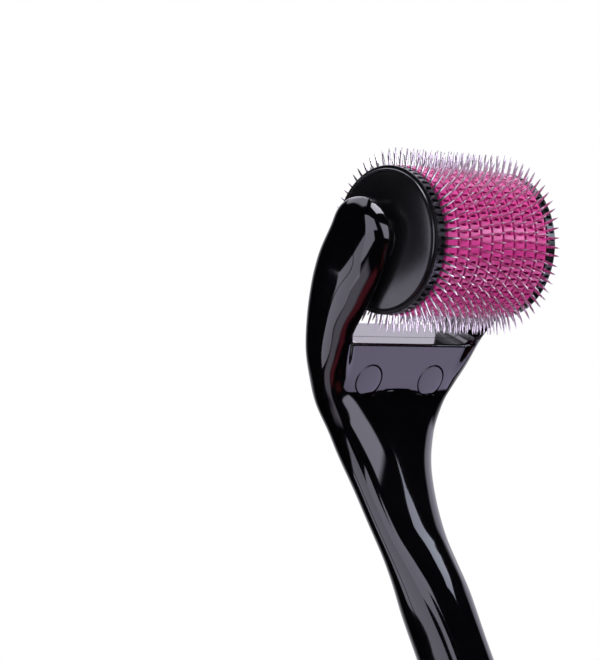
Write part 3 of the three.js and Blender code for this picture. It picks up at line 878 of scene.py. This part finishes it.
def toothed_ring(name, stations, rim, floor, disc, share, soft=0.05):
    """Ring about X with a hexagonal hole and one pocket per needle pitch.
    stations: x of the start, pocket start, pocket end and end; rim, floor: radii of the teeth
    and of the pocket floors; disc: the disc whose needles it follows; share: of a pitch that
    is tooth; soft: chamfer."""
    start, pocket_start, pocket_end, end = stations
    half = PITCH * share / 2                # half of a solid tooth
    low = rim - soft
    chamfer = soft / rim
    first = FIRST_TIP + PITCH * (PHASES[disc] + 0.5)
    verts, faces, index = [], [], {}

    def point(radius, angle, x):
        wrapped = round(angle % (2 * math.pi), 6) % round(2 * math.pi, 6)
        key = (round(radius, 5), wrapped, round(x, 5))
        if key not in index:
            index[key] = len(verts)
            verts.append(about_x(radius, x, angle))
        return index[key]

    def face(*corners):
        faces.append([point(*corner) for corner in corners])

    near = [start, start + soft, pocket_start - soft, pocket_start]
    far = [pocket_end, pocket_end + soft, end - soft, end]
    radii = [low, rim, rim, low]
    x1, x2 = near[2], far[1]
    for i in range(NEEDLES):
        mid = first + PITCH * i
        marks = [mid - half, mid - half + chamfer, mid, mid + half - chamfer, mid + half,
                 mid + PITCH / 2, mid + PITCH - half]
        spans = list(zip(marks, marks[1:]))
        # flanges, whole way round; a tooth replaces the strip next to the pockets
        for xs, pocket_strip in ((near, 2), (far, 0)):
            for k in range(3):
                for a, b in spans:
                    if k == pocket_strip and b <= mid + half + 1e-9:
                        continue
                    face((radii[k], a, xs[k]), (radii[k], b, xs[k]),
                         (radii[k + 1], b, xs[k + 1]), (radii[k + 1], a, xs[k + 1]))
        # tooth top joins both flanges, their chamfers running into the tooth's own
        top = list(zip(marks, (low, rim, rim, rim, low)))
        for (a, radius_a), (b, radius_b) in zip(top, top[1:]):
            if radius_a == rim and radius_b == rim:
                face((rim, a, x1), (rim, b, x1), (rim, b, x2), (rim, a, x2))
            elif radius_a < radius_b:
                face((rim, a, x1), (rim, b, x1), (low, a, pocket_start))
                face((rim, b, x1), (rim, b, x2), (low, a, pocket_end), (low, a, pocket_start))
                face((rim, b, x2), (rim, a, x2), (low, a, pocket_end))
            else:
                face((rim, a, x1), (rim, b, x1), (low, b, pocket_start))
                face((rim, a, x2), (rim, a, x1), (low, b, pocket_start), (low, b, pocket_end))
                face((rim, b, x2), (rim, a, x2), (low, b, pocket_end))
        # pocket after the tooth: two ends, floor, then its two sides
        for a, b in spans[4:]:
            face((low, a, pocket_start), (low, b, pocket_start),
                 (floor, b, pocket_start), (floor, a, pocket_start))
            face((floor, a, pocket_end), (floor, b, pocket_end),
                 (low, b, pocket_end), (low, a, pocket_end))
            face((floor, a, pocket_start), (floor, b, pocket_start),
                 (floor, b, pocket_end), (floor, a, pocket_end))
        for a in (marks[4], marks[-1]):
            face((low, a, pocket_start), (floor, a, pocket_start),
                 (floor, a, pocket_end), (low, a, pocket_end))
        # end faces and hole
        for a, b in spans:
            hole_a, hole_b = hex_radius(a), hex_radius(b)
            face((low, a, start), (low, b, start), (hole_b, b, start), (hole_a, a, start))
            face((hole_a, a, end), (hole_b, b, end), (low, b, end), (low, a, end))
            face((hole_a, a, start), (hole_b, b, start), (hole_b, b, end), (hole_a, a, end))
    return outward(add_mesh(name, verts, faces))


def drum_core():
    """Hexagonal bar with a bore for the axle."""
    ends = (-CORE_HALF, CORE_HALF)
    verts = []
    for radius, sides in ((CORE_R, 6), (CORE_BORE, 24)):
        step = 2 * math.pi / sides
        verts += [(x, radius * math.cos(step * i), radius * math.sin(step * i))
                  for x in ends for i in range(sides)]
    faces = [[i, (i + 1) % 6, 6 + (i + 1) % 6, 6 + i] for i in range(6)]
    faces += [[12 + i, 36 + i, 36 + (i + 1) % 24, 12 + (i + 1) % 24] for i in range(24)]
    for base, ring in ((0, 12), (6, 36)):
        for i in range(6):
            faces.append([base + i, base + (i + 1) % 6]
                         + [ring + (4 * i + k) % 24 for k in range(4, -1, -1)])
    core = outward(add_mesh("core_bar", verts, faces))
    bevel = core.modifiers.new("edge", "BEVEL")
    bevel.width, bevel.segments = 0.12 * MM, 2
    bevel.limit_method, bevel.angle_limit = "ANGLE", math.radians(40)
    apply_modifiers(core)
    return core


def end_cap(side, sign):
    """Toothed rim next to the last disc, then a stepped, domed end with a bore for the axle."""
    inner_x, outer_x = 10.1, 11.62
    cap = toothed_ring(
        "cap_" + side, (inner_x, inner_x + 0.16, outer_x - 0.30, outer_x),
        rim=10.40, floor=10.02, disc=0 if sign < 0 else -1, share=0.60, soft=0.06)
    dome = add_mesh("dome_tmp", *turned(DOME_PROFILE, 144, closed=True))
    for part in (cap, dome):
        if sign < 0:
            part.data.transform(Matrix.Diagonal((-1, 1, 1, 1)))
        outward(part)
    bm = bmesh.new()
    bm.from_mesh(cap.data)
    bm.from_mesh(dome.data)
    bm.to_mesh(cap.data)
    bm.free()
    bpy.data.objects.remove(dome)
    return cap


for disc in range(DISCS - 1):
    start = DISC_X[disc] + DISC_THICK / 2 + RING_PLAY
    end = DISC_X[disc + 1] - DISC_THICK / 2 - RING_PLAY
    ring = toothed_ring(
        f"ring_{disc + 1:02d}", (start, start + RING_FLANGE, end - RING_FLANGE, end),
        rim=RING_R, floor=RING_R - POCKET_DEPTH, disc=disc, share=0.66)
    sharp_by_angle(ring, 30)
    finish_piece(ring, "roller", pink_mat, f"spacer_ring_{disc + 1:02d}")

core = sharp_by_angle(drum_core(), 40)
finish_piece(core, "roller", core_mat, "drum_core")

for side, sign in SIDES:
    cap = sharp_by_angle(end_cap(side, sign), 33)
    finish_piece(cap, "roller", cap_mat, "end_cap_" + side)

# ------------------------------------------------------------------ world
AMBIENT = 0.5
DARK_SURROUND = (0.006, 0.006, 0.008)
# bright rectangles in the glossy surroundings: azimuth from -Y towards +X and elevation in
# degrees, half width, half height and soft edge as tangents, colour
SOFT_BOXES = [
    (-8, -5, 0.45, 0.40, 0.07, (3.5, 3.35, 4.1)),          # front panel
    (-108, -50, 0.36, 0.22, 0.12, (1.3, 1.2, 1.5)),        # table, left
    (-4, -52, 0.20, 0.16, 0.14, (0.34, 0.05, 0.05)),       # warm card below
    (-80, -68, 0.30, 0.13, 0.12, (0.75, 0.10, 0.16)),      # warm card, left
    (55.6, -36.5, 0.36, 0.20, 0.06, (1.93, 1.73, 2.55)),   # table, right
    (92, 12, 0.28, 0.24, 0.10, (1.2, 1.15, 1.4)),          # right wall
    (124, 36, 0.45, 0.35, 0.12, (1.85, 1.75, 2.05)),       # rear panel, right
    (175, 66, 0.80, 0.40, 0.15, (2.6, 2.5, 2.9)),          # rear panel, above
]
# pale sweep behind the object, seen from the camera: direction, cosine at which it starts,
# cosine range over which it brightens, colour
SWEEP_DIRECTION = (0.663, 0.741, 0.106)
SWEEP_START, SWEEP_RANGE = 0.56, 0.32
SWEEP_COLOUR = (0.95, 0.92, 1.0)


def build_world():
    """White to the camera, panels to glossy rays, even light to all others."""
    world = bpy.data.worlds.new("studio")
    bpy.context.scene.world = world
    world.use_nodes = True
    tree = world.node_tree
    tree.nodes.clear()
    output = add_node(tree, "OutputWorld")
    direction = add_node(tree, "TexCoord").outputs["Generated"]
    path = add_node(tree, "LightPath")

    def operate(kind, operation, *values, **settings):
        """Node whose inputs are linked to sockets or set to plain values."""
        new = add_node(tree, kind, operation=operation, **settings)
        for i, value in enumerate(values):
            if isinstance(value, bpy.types.NodeSocket):
                tree.links.new(value, new.inputs[i])
            else:
                new.inputs[i].default_value = value
        return new

    def calc(operation, *values, clamp=False):
        return operate("Math", operation, *values, use_clamp=clamp).outputs[0]

    def along(axis):
        return operate("VectorMath", "DOT_PRODUCT", direction, axis).outputs["Value"]

    def scaled(colour, factor):
        new = operate("VectorMath", "SCALE", colour)
        tree.links.new(factor, new.inputs["Scale"])
        return new.outputs[0]

    def brighter(first, second):
        return operate("VectorMath", "MAXIMUM", first, second).outputs[0]

    def soft_box(azimuth, elevation, half_width, half_height, edge, colour):
        turn, tilt = math.radians(azimuth), math.radians(elevation)
        centre = Vector((math.sin(turn) * math.cos(tilt), -math.cos(turn) * math.cos(tilt),
                         math.sin(tilt)))
        side = Vector((math.cos(turn), math.sin(turn), 0))
        upward = centre.cross(side) * -1
        if upward.z < 0:
            upward = -upward
        front = along(centre)
        x = calc("DIVIDE", along(side), calc("MAXIMUM", front, 0.02))
        y = calc("DIVIDE", along(upward), calc("MAXIMUM", front, 0.02))
        mask = calc("GREATER_THAN", front, 0.05)
        for offset, half in ((x, half_width), (y, half_height)):
            within = calc("SUBTRACT", half, calc("ABSOLUTE", offset))
            fade = calc("ADD", calc("DIVIDE", within, edge), 0.5, clamp=True)
            mask = calc("MULTIPLY", mask, fade)
        return scaled(colour, mask)

    def background(**settings):
        return add_node(tree, "Background", **settings)

    def mix(factor, first, second):
        new = add_node(tree, "MixShader")
        for socket, source in zip(new.inputs, (factor, first.outputs[0], second.outputs[0])):
            tree.links.new(source, socket)
        return new

    total = DARK_SURROUND
    for box in SOFT_BOXES:
        total = brighter(total, soft_box(*box))
    past_start = calc("SUBTRACT", along(SWEEP_DIRECTION), SWEEP_START)
    sweep = calc("DIVIDE", past_start, SWEEP_RANGE, clamp=True)
    total = brighter(total, scaled(SWEEP_COLOUR, sweep))
    gloss = background()
    tree.links.new(total, gloss.inputs["Color"])
    soft = background(Color=(1, 1, 1, 1), Strength=AMBIENT)
    white = background(Color=(1, 1, 1, 1), Strength=1.0)
    unseen = mix(path.outputs["Is Glossy Ray"], soft, gloss)
    final = mix(path.outputs["Is Camera Ray"], unseen, white)
    tree.links.new(final.outputs[0], output.inputs[0])


build_world()

# ------------------------------------------------------------------ lights
LIGHT_TARGET = (0, 0, -30)
# small panels seen in the gloss: centre, point faced, width and height, radiance, roll in degrees
PANELS = [
    ((-78, 54, -34), (0, 54, -34), (82, 52), (2.15, 2.05, 2.5), 0),
    ((-78, -18, 10), (0, -18, 10), (64, 40), (2.9, 2.8, 3.4), 0),
    ((-78, -5.5, -23), (0, -5.5, -23), (39, 26), (2.7, 2.6, 3.15), 0),
    ((-11.5, -22.5, 38), (-17, -2, 4), (34, 17), (8.5, 8.4, 9.4), 0),
    ((40.3, -32.4, 8.0), (-1.7, 9.6, -39.0), (38, 17.5), (3.9, 4.1, 5.0), 25),
]


def area(name, centre, target, size, energy, colour=(1, 1, 1), roll=0):
    """Area light about the axle, in millimetres and watts, unseen by camera and gloss."""
    light = bpy.data.lights.new(name, "AREA")
    light.shape, light.size, light.size_y = "RECTANGLE", size[0] * MM, size[1] * MM
    light.energy, light.color = energy, colour
    lamp = link_object(name, light)
    centre, target = ((Vector(point) + Vector(AXLE)) * MM for point in (centre, target))
    aim = (target - centre).to_track_quat("-Z", "Y").to_matrix().to_4x4()
    lamp.matrix_world = (
        Matrix.Translation(centre) @ aim @ Matrix.Rotation(math.radians(roll), 4, "Z"))
    lamp.visible_camera = False
    lamp.visible_glossy = False
    return lamp


area("key_light", (-260, -420, 420), LIGHT_TARGET, size=(320, 320), energy=5.5)
area("fill_light", (420, -260, 120), LIGHT_TARGET, size=(300, 400), energy=1.6,
     colour=(0.97, 0.97, 1.0))
area("rear_light", (300, 430, 240), LIGHT_TARGET, size=(400, 300), energy=3.4)
for k, (centre, target, size, radiance, roll) in enumerate(PANELS):
    peak = max(radiance)
    panel = area(
        f"panel_{k}", centre, target, size, peak * math.pi * size[0] * size[1] * MM * MM,
        tuple(channel / peak for channel in radiance), roll)
    panel.visible_glossy = True
    panel.visible_diffuse = False

# ------------------------------------------------------------------ floor
FLOOR_R, FLOOR_SEGMENTS = 1600.0, 96
FLOOR_Z = BUTT_Z - 0.05
FADE_FROM, FADE_TO = 0.12, 0.52        # metres from the origin


def floor_material():
    """Pale floor that the camera sees run out into the white, so it has no horizon."""
    material, tree, shader, surface = new_material("floor_pale")
    colour = colour_between(
        tree, noise(tree, Scale=12, Detail=3), (0.86, 0.86, 0.87), (0.90, 0.90, 0.905))
    tree.links.new(colour, shader.inputs["Base Color"])
    shader.inputs["Roughness"].default_value = 0.9
    shader.inputs["Specular IOR Level"].default_value = 0.1
    away = add_node(tree, "VectorMath", operation="LENGTH")
    tree.links.new(add_node(tree, "TexCoord").outputs["Object"], away.inputs[0])
    fade = add_node(tree, "MapRange", interpolation_type="SMOOTHSTEP",
                    **{"From Min": FADE_FROM, "From Max": FADE_TO})
    tree.links.new(away.outputs["Value"], fade.inputs["Value"])
    seen = add_node(tree, "Math", operation="MULTIPLY")
    tree.links.new(fade.outputs[0], seen.inputs[0])
    tree.links.new(add_node(tree, "LightPath").outputs["Is Camera Ray"], seen.inputs[1])
    bright = add_node(tree, "Emission", Color=(1, 1, 1, 1), Strength=1.0)
    mixed = add_node(tree, "MixShader")
    for socket, source in zip(mixed.inputs, (seen, shader, bright)):
        tree.links.new(source.outputs[0], socket)
    tree.links.new(mixed.outputs[0], surface)
    return material


floor_mat = floor_material()
floor_angles = [2 * math.pi * i / FLOOR_SEGMENTS for i in range(FLOOR_SEGMENTS)]
floor = add_mesh(
    "floor", [(FLOOR_R * math.cos(a), FLOOR_R * math.sin(a), FLOOR_Z) for a in floor_angles],
    [range(FLOOR_SEGMENTS)], smooth=False)
floor.data.materials.append(floor_mat)
floor.visible_glossy = False

# ------------------------------------------------------------------ camera
CAMERA_PLACE = (-281.5161632954955, -282.55708682842663, -53.457658604777514)   # about the axle
CAMERA_TURN = Matrix((
    (0.7484577982620749, -0.015290310416780774, -0.6630061316670045),
    (-0.6590397197085056, -0.1287181454433884, -0.7410116644696959),
    (-0.07401062131357476, 0.9915633340543472, -0.10641702162626727),
))
lens = bpy.data.cameras.new("camera")
lens.sensor_width, lens.lens = 36.0, 154.88146
lens.clip_start, lens.clip_end = 0.01, 20.0
camera = link_object("camera", lens)
camera_at = (Vector(CAMERA_PLACE) + Vector(AXLE)) * MM
camera.matrix_world = Matrix.Translation(camera_at) @ CAMERA_TURN.to_4x4()
bpy.context.scene.camera = camera
bpy.context.scene.view_settings.view_transform = "Standard"
